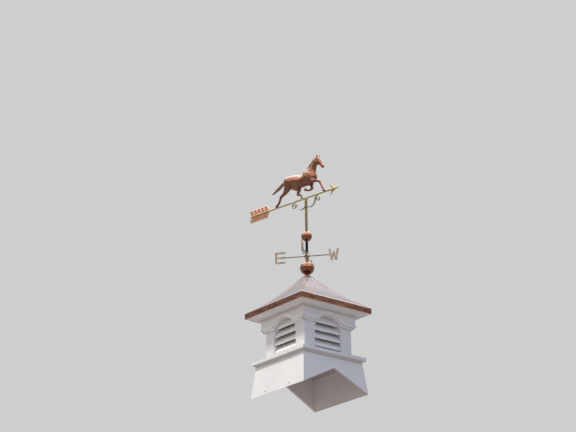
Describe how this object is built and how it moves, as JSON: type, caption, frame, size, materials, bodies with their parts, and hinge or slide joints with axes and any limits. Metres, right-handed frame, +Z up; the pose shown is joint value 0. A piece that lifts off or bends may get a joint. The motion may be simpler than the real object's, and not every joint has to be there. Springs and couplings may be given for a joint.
{
  "type": "barn cupola with weathervane",
  "caption": "White louvred barn cupola with a flared saddle base, arched louvres, a concave copper roof and a turning running-horse weathervane.",
  "frame": {"origin": "middle of the base at the level of its feet", "axes": "+Z up; X along the house roof's ridge, with +X towards the gable; -Y is the front"},
  "size_m": [0.8646, 0.626, 1.7751],
  "materials": {
    "white_pvc": "smooth white",
    "roof_copper": "dulled copper sheet",
    "deck_wood": "bare board",
    "dark_steel": "black",
    "dark_copper": "aged copper",
    "ball_copper": "polished copper, ageing",
    "brass": "satin brass",
    "letter_brass": "aged brass",
    "feather_copper": "bright copper",
    "horse_copper": "copper, ageing"
  },
  "bodies": {
    "cupola": {"base_wall_front": "white_pvc", "base_wall_right": "white_pvc", "base_wall_back": "white_pvc", "base_wall_left": "white_pvc", "belt_front": "white_pvc", "belt_right": "white_pvc", "belt_back": "white_pvc", "belt_left": "white_pvc", "box_wall_front": "white_pvc", "box_wall_right": "white_pvc", "box_wall_back": "white_pvc", "box_wall_left": "white_pvc", "louvre_front": "white_pvc", "louvre_right": "white_pvc", "louvre_back": "white_pvc", "louvre_left": "white_pvc", "frieze_front": "white_pvc", "frieze_right": "white_pvc", "frieze_back": "white_pvc", "frieze_left": "white_pvc", "crown_front": "white_pvc", "crown_right": "white_pvc", "crown_back": "white_pvc", "crown_left": "white_pvc", "roof_panel_front": "roof_copper", "roof_panel_right": "roof_copper", "roof_panel_back": "roof_copper", "roof_panel_left": "roof_copper", "roof_deck": "deck_wood", "mast_board": "deck_wood", "mast_rod": "dark_steel", "peak_collar": "dark_copper", "lower_ball": "ball_copper", "compass_arms": "brass", "upper_ball": "ball_copper", "letter_north": "letter_brass", "letter_east": "letter_brass", "letter_south": "letter_brass", "letter_west": "letter_brass"},
    "vane": {"vane_tube": "brass", "arrow_shaft": "brass", "arrow_head": "brass", "arrow_feather": "feather_copper", "scrolls": "brass", "horse": "horse_copper"}
  },
  "joints": [
    {"name": "vane_spin", "type": "hinge", "parent": "cupola", "child": "vane", "pos_m": [0, 0, 1.35], "axis": [0, 0, 1], "continuous": true}
  ]
}
